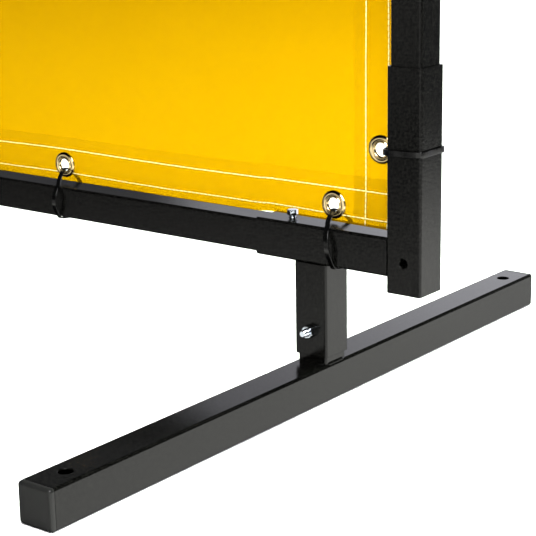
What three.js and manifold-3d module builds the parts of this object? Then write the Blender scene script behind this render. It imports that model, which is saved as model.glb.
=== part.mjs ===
// Free-standing welding curtain screen: a telescoping square-tube frame on two cross feet,
// with a tinted vinyl curtain laced to it by cable ties through grommets.
// Millimetres, +Z up. X runs along the screen, -Y is its front, and the floor is z = 0.

import * as THREE from 'three';
import { mergeVertices } from 'three/addons/utils/BufferGeometryUtils.js';
import Module from 'manifold-3d';

const wasm = await Module();
wasm.setup();

// ---------- driving dimensions ----------

// tubes
const OUTER_TUBE = 31.75;         // 1 1/4 inch square tube: sleeves, legs and feet
const WALL = 1.5;
const SLIP = 0.3;                 // clearance on each side where one tube slides in another
const INNER_TUBE = OUTER_TUBE - 2 * WALL - 2 * SLIP;
const TUBE_CORNER = 2.4;          // outside corner radius of every tube

// curtain and its grommets
const PITCH = 304.8;              // 12 inches between grommets
const COLUMNS = 6;                // grommets along the top and the bottom
const ROWS = 6;                   // grommets up each side
const CORNER_TO_COLUMN = 60;      // curtain's side edge to the first bottom grommet
const CORNER_TO_ROW = 64;         // curtain's bottom edge to the first side grommet
const EDGE_TO_GROMMET = 14;
const CURTAIN_BOTTOM = 148.5;
const CURTAIN_Y = 8;              // behind the frame's middle, so it clears the clamp screws
const CURTAIN_TO_POST = 22;       // curtain's side edge to the post's centre line
const VINYL = 0.4;
const HEM_WIDTH = 40;
const HEM_THICKNESS = 1;
const GROMMET_HOLE = 5.7;         // radii of the hole, the flange's crest and its rim
const GROMMET_CREST = 8.4;
const GROMMET_RIM = 11.15;
const GROMMET_HALF_DEPTHS = [1.1, 1.6, 0.7];  // half the grommet's thickness at those radii

// corners: a post sleeve and a rail sleeve welded together
const RAIL_Z = 132.6;             // centre line of the bottom rail
const POST_SLEEVE_BOTTOM = 104;
const POST_SLEEVE_LENGTH = 179;
const RAIL_SLEEVE_LENGTH = 129;
const UPRIGHT_INSERTION = 119;    // how far an upright goes into a post sleeve
const RAIL_END_GAP = 12;          // from a rail's end to the post sleeve's face
const POST_HOLE_Z = 129.7;
const POST_HOLE_RADIUS = 3.75;
const SCREW_TO_POST = 118.5;      // clamp screw to the post's centre line

// legs and feet
const LEG_TO_POST = 89.9;
const LEG_BOTTOM = 38.3;
const STUB_HEIGHT = 50;
const BOLT_Z = 59.5;
const FOOT_TUBE_LENGTH = 660.4;   // 26 inches
const FOOT_HOLE_TO_MIDDLE = 303.5;
const FOOT_HOLE_RADIUS = 5.5;

// moulded end caps
const CAP_HEAD = 5;
const CAP_EDGE = 2.5;             // rounding of the head's outer edges
const CAP_PLUG_DEPTH = 12;

// fasteners
const BOLT_RADIUS = 3.175;        // 1/4 inch
const BOLT_CLEARANCE = 0.35;
const HEX_RADIUS = 6.4;           // 7/16 inch across flats
const NUT_THICKNESS = 5.6;
const BOLT_HEAD_THICKNESS = 4.2;
const BOLT_END = 6;               // how far the bolt stands out of its nut
const HEX_CHAMFER = 0.15;         // share of a head's radius
const SCREW_RADIUS = 3;
const SCREW_HEX_RADIUS = 4.6;     // 8 mm across flats
const SCREW_HEAD = 4.5;
const SCREW_STANDS_OUT = 2.4;     // bare thread between the sleeve and the head

// cable ties
const TIE_WIDTH = 4.8;
const TIE_THICKNESS = 1.2;
const TIE_CLEARANCE = 0.3;
const TIE_HEAD_THICKNESS = 3.4;
const TIE_HEAD_LENGTH = 6;
const TIE_IN_GROMMET = 4.8;       // grommet's centre to the strap's face, towards the frame
const TIE_TURN = 4;               // the strap runs straight this far each side of the curtain
// A tie moves along the tube between its grommet and the tube, then drifts on as it goes round.
const RAIL_TIE_LIE = { shift: 11, drift: 1 };
const CORNER_TIE_LIE = { shift: 9.5, drift: 6.5 };  // far enough to pass the leg
const POST_TIE_LIE = { shift: 3.5, drift: 1.5 };

// ---------- positions that follow ----------

const CURTAIN_WIDTH = (COLUMNS - 1) * PITCH + 2 * CORNER_TO_COLUMN;
const CURTAIN_HEIGHT = (ROWS - 1) * PITCH + 2 * CORNER_TO_ROW;
const MIDDLE_Z = CURTAIN_BOTTOM + CURTAIN_HEIGHT / 2;
const POST_X = CURTAIN_WIDTH / 2 + CURTAIN_TO_POST;
const LEG_X = POST_X - LEG_TO_POST;
const RAIL_LENGTH = 2 * (POST_X - OUTER_TUBE / 2 - RAIL_END_GAP);
const RAIL_TO_MIDDLE = MIDDLE_Z - RAIL_Z;
const SLEEVE_END_TO_MIDDLE = MIDDLE_Z - POST_SLEEVE_BOTTOM;
const SLEEVE_TO_MIDDLE = SLEEVE_END_TO_MIDDLE - POST_SLEEVE_LENGTH / 2;
const UPRIGHT_LENGTH = 2 * (SLEEVE_END_TO_MIDDLE - POST_SLEEVE_LENGTH + UPRIGHT_INSERTION);

// ---------- materials ----------

const blackPaint = new THREE.MeshStandardMaterial({ color: 0x1c1c1d, roughness: 0.38, metalness: 0.1 });
const blackPlastic = new THREE.MeshStandardMaterial({ color: 0x151515, roughness: 0.5, metalness: 0 });
const blackNylon = new THREE.MeshStandardMaterial({ color: 0x0d0d0d, roughness: 0.4, metalness: 0 });
const brightZinc = new THREE.MeshStandardMaterial({ color: 0xc9d2d8, roughness: 0.25, metalness: 1 });
const yellowVinyl = new THREE.MeshStandardMaterial({
  color: 0xf5bd06,
  roughness: 0.3,
  metalness: 0,
  transparent: true,
  opacity: 0.85,
});

// ---------- helpers ----------

/** A closed geometry as a manifold solid. */
function toSolid(geometry) {
  const bare = geometry.clone();
  bare.deleteAttribute('normal');
  bare.deleteAttribute('uv');
  const merged = mergeVertices(bare);
  return new wasm.Manifold(new wasm.Mesh({
    numProp: 3,
    vertProperties: new Float32Array(merged.attributes.position.array),
    triVerts: new Uint32Array(merged.index.array),
  }));
}

/** A manifold solid as a flat-shaded geometry. */
function toGeometry(solid) {
  const mesh = solid.getMesh();
  const indexed = new THREE.BufferGeometry();
  indexed.setAttribute('position', new THREE.BufferAttribute(mesh.vertProperties, 3));
  indexed.setIndex(new THREE.BufferAttribute(mesh.triVerts, 1));
  const geometry = indexed.toNonIndexed();
  geometry.computeVertexNormals();
  return geometry;
}

function cut(geometry, tools) {
  return toGeometry(tools.reduce((solid, tool) => solid.subtract(toSolid(tool)), toSolid(geometry)));
}

function join(geometries) {
  return toGeometry(geometries.map(toSolid).reduce((solid, next) => solid.add(next)));
}

/** The outline of a square with round corners, anticlockwise. */
function roundedSquare(size, radius) {
  const steps = 3;
  const reach = size / 2 - radius;
  const points = [];
  for (let corner = 0; corner < 4; corner += 1) {
    const start = corner * Math.PI / 2;
    const middle = start + Math.PI / 4;
    const centre = new THREE.Vector2(Math.cos(middle), Math.sin(middle)).multiplyScalar(reach * Math.SQRT2);
    for (let step = 0; step <= steps; step += 1) {
      const angle = start + (step / steps) * Math.PI / 2;
      points.push(new THREE.Vector2(Math.cos(angle), Math.sin(angle)).multiplyScalar(radius).add(centre));
    }
  }
  return points;
}

/** A square tube along Z, open at both ends, with its middle at the origin. */
function squareTube(size, length) {
  const shape = new THREE.Shape(roundedSquare(size, TUBE_CORNER));
  shape.holes.push(new THREE.Path(roundedSquare(size - 2 * WALL, TUBE_CORNER - WALL)));
  const geometry = new THREE.ExtrudeGeometry(shape, { depth: length, bevelEnabled: false });
  return geometry.translate(0, 0, -length / 2);
}

/** A drill for a round hole along Y. */
function drillAlongY(radius, length) {
  return new THREE.CylinderGeometry(radius, radius, length, 12);
}

/** A hexagonal head along Y, standing on y = 0, with a chamfered top. */
function hexHead(radius, height) {
  const chamfer = HEX_CHAMFER * radius;
  const profile = [
    new THREE.Vector2(0, 0),
    new THREE.Vector2(radius, 0),
    new THREE.Vector2(radius, height - chamfer),
    new THREE.Vector2(radius - chamfer, height),
    new THREE.Vector2(0, height),
  ];
  return new THREE.LatheGeometry(profile, 6);
}

const screen = new THREE.Group();

function addPiece(name, geometry, material, x, y, z) {
  const mesh = new THREE.Mesh(geometry, material);
  mesh.name = name;
  mesh.position.set(x, y, z);
  screen.add(mesh);
}

// ---------- frame ----------

/** The bottom and top rails, whose ends slide in the four rail sleeves. */
function addRails() {
  for (const [name, side] of [['bottom_rail', -1], ['top_rail', 1]]) {
    const rail = squareTube(INNER_TUBE, RAIL_LENGTH).rotateY(Math.PI / 2);
    addPiece(name, rail, blackPaint, 0, 0, MIDDLE_Z + side * RAIL_TO_MIDDLE);
  }
}

/** An upright, and the post sleeves over its two ends. */
function addPost(end, side) {
  const x = side * POST_X;
  addPiece(`${end}_upright`, squareTube(INNER_TUBE, UPRIGHT_LENGTH), blackPaint, x, 0, MIDDLE_Z);
  for (const [level, up] of [['lower', -1], ['upper', 1]]) {
    const hole = drillAlongY(POST_HOLE_RADIUS, 2 * WALL + 2);
    const holeToMiddle = SLEEVE_TO_MIDDLE - (MIDDLE_Z - POST_HOLE_Z);
    hole.translate(0, -OUTER_TUBE / 2, -up * holeToMiddle);
    const sleeve = cut(squareTube(OUTER_TUBE, POST_SLEEVE_LENGTH), [hole]);
    addPiece(`${end}_${level}_post_sleeve`, sleeve, blackPaint, x, 0, MIDDLE_Z + up * SLEEVE_TO_MIDDLE);
  }
  const cap = endCap().rotateX(Math.PI / 2);
  addPiece(`${end}_post_cap`, cap, blackPlastic, x, 0, MIDDLE_Z + SLEEVE_END_TO_MIDDLE);
}

/** The two rail sleeves at one end, each with a tapped hole that faces the curtain. */
function addRailSleeves(end, side) {
  const sleeveX = POST_X - OUTER_TUBE / 2 - RAIL_SLEEVE_LENGTH / 2;
  const screwX = POST_X - SCREW_TO_POST;
  for (const [level, up] of [['lower', -1], ['upper', 1]]) {
    const z = MIDDLE_Z + up * RAIL_TO_MIDDLE;
    const hole = drillAlongY(SCREW_RADIUS + BOLT_CLEARANCE, 2 * WALL + 2);
    hole.rotateX(Math.PI / 2);
    hole.translate(side * (screwX - sleeveX), 0, -up * OUTER_TUBE / 2);
    const tube = squareTube(OUTER_TUBE, RAIL_SLEEVE_LENGTH).rotateY(Math.PI / 2);
    addPiece(`${end}_${level}_rail_sleeve`, cut(tube, [hole]), blackPaint, side * sleeveX, 0, z);
    const screw = clampScrew();
    screw.rotateX(-up * Math.PI / 2);
    const surfaceZ = z - up * OUTER_TUBE / 2;
    addPiece(`${end}_${level}_clamp_screw`, screw, brightZinc, side * screwX, 0, surfaceZ);
  }
}

/** A clamp screw along Y, head outwards, with y = 0 at the sleeve's face and its tip off the rail. */
function clampScrew() {
  const tip = WALL;
  const top = SCREW_STANDS_OUT + SCREW_HEAD / 2;
  const shank = new THREE.CylinderGeometry(SCREW_RADIUS, SCREW_RADIUS, tip + top, 16);
  shank.translate(0, (top - tip) / 2, 0);
  const head = hexHead(SCREW_HEX_RADIUS, SCREW_HEAD).translate(0, SCREW_STANDS_OUT, 0);
  return join([shank, head]);
}

// ---------- legs and feet ----------

/** A leg welded under the rail sleeve, slipped over the foot's stub and bolted to it. */
function addLeg(end, side) {
  const x = side * LEG_X;
  const top = RAIL_Z - OUTER_TUBE / 2;
  const length = top - LEG_BOTTOM;
  const middle = (top + LEG_BOTTOM) / 2;
  const throughHole = drillAlongY(BOLT_RADIUS + BOLT_CLEARANCE, OUTER_TUBE + 2);
  const leg = cut(squareTube(OUTER_TUBE, length), [throughHole.clone().translate(0, 0, BOLT_Z - middle)]);
  addPiece(`${end}_leg`, leg, blackPaint, x, 0, middle);
  const stubMiddle = OUTER_TUBE + STUB_HEIGHT / 2;
  const stub = cut(
    squareTube(INNER_TUBE, STUB_HEIGHT),
    [throughHole.clone().translate(0, 0, BOLT_Z - stubMiddle)],
  );
  addPiece(`${end}_foot_stub`, stub, blackPaint, x, 0, stubMiddle);
  addPiece(`${end}_leg_bolt`, legBolt(), brightZinc, x, 0, BOLT_Z);
  addPiece(`${end}_leg_nut`, legNut(), brightZinc, x, -OUTER_TUBE / 2, BOLT_Z);
}

/** A hex bolt along Y, head at the back. */
function legBolt() {
  const front = -OUTER_TUBE / 2 - NUT_THICKNESS - BOLT_END;
  const back = OUTER_TUBE / 2 + BOLT_HEAD_THICKNESS / 2;
  const shank = new THREE.CylinderGeometry(BOLT_RADIUS, BOLT_RADIUS, back - front, 16);
  shank.translate(0, (back + front) / 2, 0);
  const head = hexHead(HEX_RADIUS, BOLT_HEAD_THICKNESS).translate(0, OUTER_TUBE / 2, 0);
  return join([shank, head]);
}

/** A hex nut whose back face is y = 0. */
function legNut() {
  const body = hexHead(HEX_RADIUS, NUT_THICKNESS).rotateX(Math.PI);
  return cut(body, [drillAlongY(BOLT_RADIUS + BOLT_CLEARANCE, 3 * NUT_THICKNESS)]);
}

/** A cross foot: a square tube along Y with a hole near each end, and its two end caps. */
function addFoot(end, side) {
  const x = side * LEG_X;
  const z = OUTER_TUBE / 2;
  const holes = [-1, 1].map((way) => {
    const drill = drillAlongY(FOOT_HOLE_RADIUS, 2 * WALL + 2).rotateX(Math.PI / 2);
    return drill.translate(0, way * FOOT_HOLE_TO_MIDDLE, OUTER_TUBE / 2);
  });
  const tube = squareTube(OUTER_TUBE, FOOT_TUBE_LENGTH).rotateX(Math.PI / 2);
  addPiece(`${end}_foot`, cut(tube, holes), blackPaint, x, 0, z);
  addPiece(`${end}_foot_front_cap`, endCap().rotateX(Math.PI), blackPlastic, x, -FOOT_TUBE_LENGTH / 2, z);
  addPiece(`${end}_foot_rear_cap`, endCap(), blackPlastic, x, FOOT_TUBE_LENGTH / 2, z);
}

/** An end cap along Y: a head with rounded edges from y = 0 outwards, and a plug inside the tube. */
function endCap() {
  const outline = new THREE.Shape(roundedSquare(OUTER_TUBE - 2 * CAP_EDGE, 0.5));
  const pad = new THREE.ExtrudeGeometry(outline, {
    depth: CAP_HEAD,
    bevelThickness: CAP_EDGE,
    bevelSize: CAP_EDGE,
    bevelSegments: 3,
  });
  pad.translate(0, 0, -CAP_EDGE);
  const behind = new THREE.BoxGeometry(2 * OUTER_TUBE, 2 * OUTER_TUBE, 2 * OUTER_TUBE);
  behind.translate(0, 0, -OUTER_TUBE);
  const head = cut(pad, [behind]);
  const overlap = 1;
  const plug = new THREE.BoxGeometry(INNER_TUBE, INNER_TUBE, CAP_PLUG_DEPTH + overlap);
  plug.translate(0, 0, overlap - (CAP_PLUG_DEPTH + overlap) / 2);
  return join([head, plug]).rotateX(-Math.PI / 2);
}

// ---------- curtain ----------

/** Grommet centres, as [x, z]. */
function grommetPlaces() {
  const places = [];
  const sideReach = CURTAIN_WIDTH / 2 - EDGE_TO_GROMMET;
  const upReach = CURTAIN_HEIGHT / 2 - EDGE_TO_GROMMET;
  for (let column = 0; column < COLUMNS; column += 1) {
    const x = (column - (COLUMNS - 1) / 2) * PITCH;
    places.push([x, -upReach], [x, upReach]);
  }
  for (let row = 0; row < ROWS; row += 1) {
    const z = (row - (ROWS - 1) / 2) * PITCH;
    places.push([-sideReach, z], [sideReach, z]);
  }
  return places;
}

/** One grommet: a ring around Y whose flanges clamp both faces of the hem. */
function grommet() {
  const radii = [GROMMET_HOLE, GROMMET_CREST, GROMMET_RIM];
  const front = radii.map((radius, i) => new THREE.Vector2(radius, -GROMMET_HALF_DEPTHS[i]));
  const back = radii.map((radius, i) => new THREE.Vector2(radius, GROMMET_HALF_DEPTHS[i])).reverse();
  return new THREE.LatheGeometry([...front, ...back, front[0].clone()], 12);
}

/** The curtain, with its thicker hem and the grommets crimped into it. */
function addCurtain() {
  const sheet = new THREE.BoxGeometry(CURTAIN_WIDTH, VINYL, CURTAIN_HEIGHT);
  const rim = new THREE.BoxGeometry(CURTAIN_WIDTH, HEM_THICKNESS, CURTAIN_HEIGHT);
  const inside = new THREE.BoxGeometry(
    CURTAIN_WIDTH - 2 * HEM_WIDTH,
    2 * HEM_THICKNESS,
    CURTAIN_HEIGHT - 2 * HEM_WIDTH,
  );
  const seat = (GROMMET_HOLE + GROMMET_RIM) / 2;
  const places = grommetPlaces();
  const holes = places.map(([x, z]) => drillAlongY(seat, 4 * HEM_THICKNESS).translate(x, 0, z));
  const grommets = places.map(([x, z]) => grommet().translate(x, 0, z));
  const curtain = join([cut(join([sheet, cut(rim, [inside])]), holes), ...grommets]);
  addPiece('curtain', curtain, yellowVinyl, 0, CURTAIN_Y, MIDDLE_Z);
}

// ---------- cable ties ----------

/** An outline moved outwards by distance. The outline runs anticlockwise. */
function grow(outline, distance) {
  return outline.map((point, i) => {
    const before = outline[(i + outline.length - 1) % outline.length];
    const after = outline[(i + 1) % outline.length];
    const come = point.clone().sub(before).normalize();
    const go = after.clone().sub(point).normalize();
    const miter = new THREE.Vector2(come.y + go.y, -come.x - go.x);
    miter.multiplyScalar(distance / (1 + come.dot(go)));
    return miter.add(point);
  });
}

/**
 * A cable tie round a square tube and through a grommet. x runs to the screen's back, y from the
 * tube's centre to the curtain, and z along the tube. The lie says how it moves along the tube, and
 * way is +1 or -1 for which way along z.
 */
function cableTie(tubeSize, grommetDistance, lie, way) {
  const tube = tubeSize / 2 + TIE_CLEARANCE;
  const strap = grommetDistance - TIE_IN_GROMMET;
  const inner = [
    new THREE.Vector2(-tube, -tube),
    new THREE.Vector2(tube, -tube),
    new THREE.Vector2(tube, tube),
    new THREE.Vector2(CURTAIN_Y + TIE_TURN, strap),
    new THREE.Vector2(CURTAIN_Y - TIE_TURN, strap),
    new THREE.Vector2(-tube, tube),
  ];
  const outer = grow(inner, TIE_THICKNESS);
  const headReach = tube + TIE_THICKNESS + TIE_HEAD_THICKNESS;
  outer.splice(
    2,
    0,
    new THREE.Vector2(tube + TIE_THICKNESS, -TIE_HEAD_LENGTH / 2),
    new THREE.Vector2(headReach, -TIE_HEAD_LENGTH / 2),
    new THREE.Vector2(headReach, TIE_HEAD_LENGTH / 2),
    new THREE.Vector2(tube + TIE_THICKNESS, TIE_HEAD_LENGTH / 2),
  );
  const shape = new THREE.Shape(outer);
  shape.holes.push(new THREE.Path(inner));
  const geometry = new THREE.ExtrudeGeometry(shape, { depth: TIE_WIDTH, bevelEnabled: false });
  geometry.translate(0, 0, -TIE_WIDTH / 2);
  const position = geometry.attributes.position;
  for (let i = 0; i < position.count; i += 1) {
    const toTube = THREE.MathUtils.clamp((strap - position.getY(i)) / (strap - tube), 0, 1);
    const across = THREE.MathUtils.clamp((tube - position.getY(i)) / (2 * tube), 0, 1);
    position.setZ(i, position.getZ(i) + way * (toTube * lie.shift + across * lie.drift));
  }
  return geometry;
}

/** One tie, turned so that its y runs along towards, which points from the frame to the curtain. */
function addTie(name, geometry, towards, x, z) {
  const back = new THREE.Vector3(0, 1, 0);
  const along = new THREE.Vector3().crossVectors(back, towards);
  geometry.applyMatrix4(new THREE.Matrix4().makeBasis(back, towards, along));
  addPiece(name, geometry, blackNylon, x, 0, z);
}

function addRailTies() {
  const railToGrommet = CURTAIN_BOTTOM + EDGE_TO_GROMMET - RAIL_Z;
  for (const [edge, up] of [['bottom', 1], ['top', -1]]) {
    for (let column = 0; column < COLUMNS; column += 1) {
      const offset = column - (COLUMNS - 1) / 2;
      const atLeg = column === 0 || column === COLUMNS - 1;
      const size = atLeg ? OUTER_TUBE : INNER_TUBE;
      const lie = atLeg ? CORNER_TIE_LIE : RAIL_TIE_LIE;
      const tie = cableTie(size, railToGrommet, lie, Math.sign(offset) * up);
      const z = MIDDLE_Z - up * RAIL_TO_MIDDLE;
      addTie(`tie_${edge}_${column + 1}`, tie, new THREE.Vector3(0, 0, up), offset * PITCH, z);
    }
  }
}

function addPostTies(end, side) {
  const postToGrommet = CURTAIN_TO_POST + EDGE_TO_GROMMET;
  for (let row = 0; row < ROWS; row += 1) {
    const offset = row - (ROWS - 1) / 2;
    const onSleeve = row === 0 || row === ROWS - 1;
    const tie = cableTie(onSleeve ? OUTER_TUBE : INNER_TUBE, postToGrommet, POST_TIE_LIE, side);
    const z = MIDDLE_Z + offset * PITCH;
    addTie(`tie_${end}_${row + 1}`, tie, new THREE.Vector3(-side, 0, 0), side * POST_X, z);
  }
}

// ---------- assembly ----------

addRails();
addCurtain();
addRailTies();
for (const [end, side] of [['left', -1], ['right', 1]]) {
  addPost(end, side);
  addRailSleeves(end, side);
  addLeg(end, side);
  addFoot(end, side);
  addPostTies(end, side);
}

export default screen;
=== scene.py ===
"""Looks for the welding curtain screen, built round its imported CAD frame.

Metres, +Z up. X runs along the screen, -Y is its front, and the floor is z = 0.
"""

import math
import random

import bpy
from mathutils import Matrix, Vector, noise


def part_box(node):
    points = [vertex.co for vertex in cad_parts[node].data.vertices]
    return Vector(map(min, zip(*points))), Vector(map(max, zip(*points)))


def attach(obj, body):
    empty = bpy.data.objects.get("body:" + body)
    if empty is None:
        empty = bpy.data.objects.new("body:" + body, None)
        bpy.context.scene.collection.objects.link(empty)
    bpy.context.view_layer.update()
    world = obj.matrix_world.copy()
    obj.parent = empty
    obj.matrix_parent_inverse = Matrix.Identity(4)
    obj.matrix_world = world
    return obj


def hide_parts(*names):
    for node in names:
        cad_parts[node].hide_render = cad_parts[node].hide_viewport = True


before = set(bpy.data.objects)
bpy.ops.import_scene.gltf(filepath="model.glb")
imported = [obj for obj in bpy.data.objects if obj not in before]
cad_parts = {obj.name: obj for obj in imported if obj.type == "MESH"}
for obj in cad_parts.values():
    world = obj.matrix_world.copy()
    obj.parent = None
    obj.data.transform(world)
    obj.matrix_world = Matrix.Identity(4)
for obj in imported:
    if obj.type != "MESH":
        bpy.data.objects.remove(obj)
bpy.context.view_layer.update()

MM = 0.001
ENDS = {"left": -1, "right": 1}
LEVELS = {"lower": -1, "upper": 1}
ROOT = "rails_and_curtain"

# tubes
WALL = 1.5 * MM
TUBE_CORNER = 2.4 * MM
CORNER_STEPS = 6
END_ROUNDING = 0.35 * MM
BEAD = 1.5 * MM                 # weld beads' radii
LEG_BEAD = 1.4 * MM
SIDE_BEAD = 1.0 * MM            # beside the curtain's edge, which passes it when an end slides in

# holes: radii, and places
HOLE_ROUNDING = 0.5 * MM
HOLE_DEPTH = 2.4 * MM           # through one wall only
POST_HOLE = 3.75 * MM
POST_HOLE_TO_END = 25.7 * MM
SCREW_HOLE = 3.2 * MM
BOLT_HOLE = 3.4 * MM
FOOT_HOLE = 5.5 * MM
FOOT_HOLE_Y = 303.5 * MM
HOLE_POINTS = 40

# caps and fasteners
CAP_HEAD = 5 * MM
CAP_PLUG = 12 * MM
HEX_POINTS = 72
CHAMFER_START = 0.485           # radius of a hexagon's flat face, as a share of its width
THREAD_PITCH = 1.27 * MM
BOLT_ACROSS = 10 * MM
BOLT_RADIUS = 3.175 * MM
NUT_BORE = 2.9 * MM
SCREW_ACROSS = 8 * MM
SCREW_RADIUS = 3 * MM
SCREW_STANDS = 2.4 * MM         # from the sleeve to the underside of a clamp screw's head

# curtain
EDGES = ("bottom", "top", "left", "right")
PITCH = 304.8 * MM
COUNT = 6                       # grommets along each edge
EDGE_TO_GROMMET = 14 * MM
VINYL = 0.36 * MM
LAYER = 0.4 * MM                # from one layer's middle to the next, where the hem is folded
HEM = 40 * MM
THREAD_ROWS = (7 * MM, 28.5 * MM)
FOLD_INSET = 0.5 * MM           # how far inside the curtain's outline its folds begin to turn
HOLE_CELL = 6 * MM              # half the square of the curtain's grid left out for a grommet
CUT_HOLE = 7.4 * MM             # radius that the square's outline is drawn out to
STITCH = 4.6 * MM
THREAD_RADIUS = 0.45 * MM

# cable ties
TIE_WIDTH = 4.8 * MM
TIE_THICKNESS = 1.2 * MM
TIE_EDGE = 0.4 * MM             # rounding of the strap's edges
TIE_STEPS = 3                   # steps round a rounded edge of a tie
TIE_CLEARANCE = 0.3 * MM
TIE_IN_GROMMET = 4.8 * MM
TIE_TURN = 4 * MM
# a tie's lie: how far along its tube it runs to the grommet, and how far it drifts round the tube
RAIL_LIE = (11 * MM, 1 * MM)
LEG_LIE = (9.5 * MM, 6.5 * MM)
POST_LIE = (3.5 * MM, 1.5 * MM)
# its slacks: how far it bows off the tube's front, far side and back
RAIL_SLACKS = (5.5 * MM, 1.6 * MM, 1.0 * MM)
POST_SLACKS = (1.0 * MM, 0.1 * MM, 0.8 * MM)

curtain_low, curtain_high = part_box("curtain")
CURTAIN_Y = (curtain_low.y + curtain_high.y) / 2
HALF_WIDTH = curtain_high.x
MIDDLE_Z = (curtain_low.z + curtain_high.z) / 2
HALF_HEIGHT = (curtain_high.z - curtain_low.z) / 2
SLEEVE_INNER_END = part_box("right_lower_rail_sleeve")[0].x


# ---------- mesh helpers ----------

def add_object(name, verts, faces, material):
    """A smooth-shaded mesh object at the origin."""
    mesh = bpy.data.meshes.new(name)
    mesh.from_pydata([tuple(v) for v in verts], [], faces)
    mesh.validate()
    mesh.materials.append(material)
    mesh.shade_smooth()
    obj = bpy.data.objects.new(name, mesh)
    bpy.context.scene.collection.objects.link(obj)
    return obj


def loft(rings, closed=False, caps=True):
    """Vertices and faces of a skin over rings of points, all with the same number of points."""
    count = len(rings[0])
    verts = [point for ring in rings for point in ring]
    faces = []
    spans = len(rings) if closed else len(rings) - 1
    for level in range(spans):
        low = level * count
        high = (level + 1) % len(rings) * count
        for i in range(count):
            j = (i + 1) % count
            faces.append((low + i, low + j, high + j, high + i))
    if caps and not closed:
        faces.append(tuple(reversed(range(count))))
        faces.append(tuple(range(len(verts) - count, len(verts))))
    return verts, faces


def joined(parts):
    """Several (verts, faces) shells as one."""
    verts, faces = [], []
    for part_verts, part_faces in parts:
        start = len(verts)
        verts.extend(part_verts)
        faces.extend(tuple(start + i for i in face) for face in part_faces)
    return verts, faces


def moved(part, matrix):
    """A (verts, faces) shell taken through a matrix."""
    verts, faces = part
    return [matrix @ Vector(v) for v in verts], faces


def rounded_outline(width, depth, corner, steps):
    """The (x, y) points round a rectangle with round corners, anticlockwise."""
    points = []
    for quarter in range(4):
        middle = math.radians(45 + 90 * quarter)
        centre_x = math.copysign(width / 2 - corner, math.cos(middle))
        centre_y = math.copysign(depth / 2 - corner, math.sin(middle))
        for step in range(steps + 1):
            angle = math.radians(90 * quarter + 90 * step / steps)
            points.append((centre_x + corner * math.cos(angle), centre_y + corner * math.sin(angle)))
    return points


def rounded_square(size, corner, height):
    """The outline of a square with round corners in the plane z = height, anticlockwise."""
    return [
        Vector((x, y, height)) for x, y in rounded_outline(size, size, corner, CORNER_STEPS)
    ]


def circle(radius, height, count):
    """A circle of points in the plane z = height, anticlockwise."""
    return [
        Vector((radius * math.cos(a), radius * math.sin(a), height))
        for a in (2 * math.pi * i / count for i in range(count))
    ]


def arc_insets(radius, steps=3):
    """(inset from the side, distance from the end) round a quarter circle, side to end."""
    angles = [math.radians(90 * i / steps) for i in range(steps + 1)]
    return [(radius * (1 - math.cos(a)), radius * (1 - math.sin(a))) for a in angles]


def turn_from_z(direction):
    """The rotation that takes +Z to a direction."""
    return Vector((0, 0, 1)).rotation_difference(Vector(direction)).to_matrix().to_4x4()


def turned_to(axis):
    """The rotation that takes +Z to the axis numbered 0, 1 or 2."""
    if axis == 0:
        return Matrix.Rotation(math.pi / 2, 4, "Y")
    if axis == 1:
        return Matrix.Rotation(-math.pi / 2, 4, "X")
    return Matrix.Identity(4)


def cut(obj, cutters):
    """Cuts closed (verts, faces) shells out of obj and keeps the result as its mesh."""
    verts, faces = joined(cutters)
    tool = add_object(obj.name + "_cutter", verts, faces, obj.data.materials[0])
    boolean = obj.modifiers.new("holes", "BOOLEAN")
    boolean.operation = "DIFFERENCE"
    boolean.solver = "EXACT"
    boolean.object = tool
    graph = bpy.context.evaluated_depsgraph_get()
    mesh = bpy.data.meshes.new_from_object(obj.evaluated_get(graph), depsgraph=graph)
    obj.modifiers.remove(boolean)
    obj.data = mesh
    mesh.shade_smooth()
    bpy.data.objects.remove(tool)


def weigh_normals(obj):
    """Shades flat faces flat and lets the small rounded edges between them take the curve."""
    weighted = obj.modifiers.new("normals", "WEIGHTED_NORMAL")
    weighted.mode = "FACE_AREA"
    weighted.weight = 90


def middle_of(node):
    """The middle of a CAD node's box."""
    low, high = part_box(node)
    return (low + high) / 2


def place(obj, body, slot, *nodes):
    """Rides obj on a body in place of CAD nodes. Its slot argument is not used."""
    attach(obj, body)
    if nodes:
        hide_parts(*nodes)
    return obj


# ---------- materials ----------

def add_node(tree, kind, inputs=None, **settings):
    """A shader node. inputs maps its sockets to values or to other nodes' outputs."""
    node = tree.nodes.new(kind)
    for key, value in settings.items():
        setattr(node, key, value)
    for key, value in (inputs or {}).items():
        if isinstance(value, bpy.types.NodeSocket):
            tree.links.new(value, node.inputs[key])
        else:
            node.inputs[key].default_value = value
    return node


def new_tree(name):
    """A new material and its empty node tree."""
    material = bpy.data.materials.new(name)
    material.use_nodes = True
    material.node_tree.nodes.clear()
    return material, material.node_tree


def noise_of(tree, scale, detail=2.0, rough=0.5, stretch=(1, 1, 1)):
    """Noise over the object's own coordinates; scale is in features per metre."""
    coords = add_node(tree, "ShaderNodeTexCoord").outputs["Object"]
    mapping = add_node(tree, "ShaderNodeMapping", {"Vector": coords, "Scale": stretch})
    inputs = {"Vector": mapping.outputs[0], "Scale": scale, "Detail": detail, "Roughness": rough}
    return add_node(tree, "ShaderNodeTexNoise", inputs).outputs["Fac"]


def spread(tree, value, low, high, start=0.3, end=0.7):
    """value from start..end mapped to low..high."""
    inputs = {"Value": value, "From Min": start, "From Max": end, "To Min": low, "To Max": high}
    return add_node(tree, "ShaderNodeMapRange", inputs).outputs[0]


def blend_colours(tree, factor, first, second):
    """The colour from first to second. A colour mix has its colours at inputs 6 and 7, and output 2."""
    inputs = {"Factor": factor, 6: (*first, 1), 7: (*second, 1)}
    return add_node(tree, "ShaderNodeMix", inputs, data_type="RGBA").outputs[2]


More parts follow.
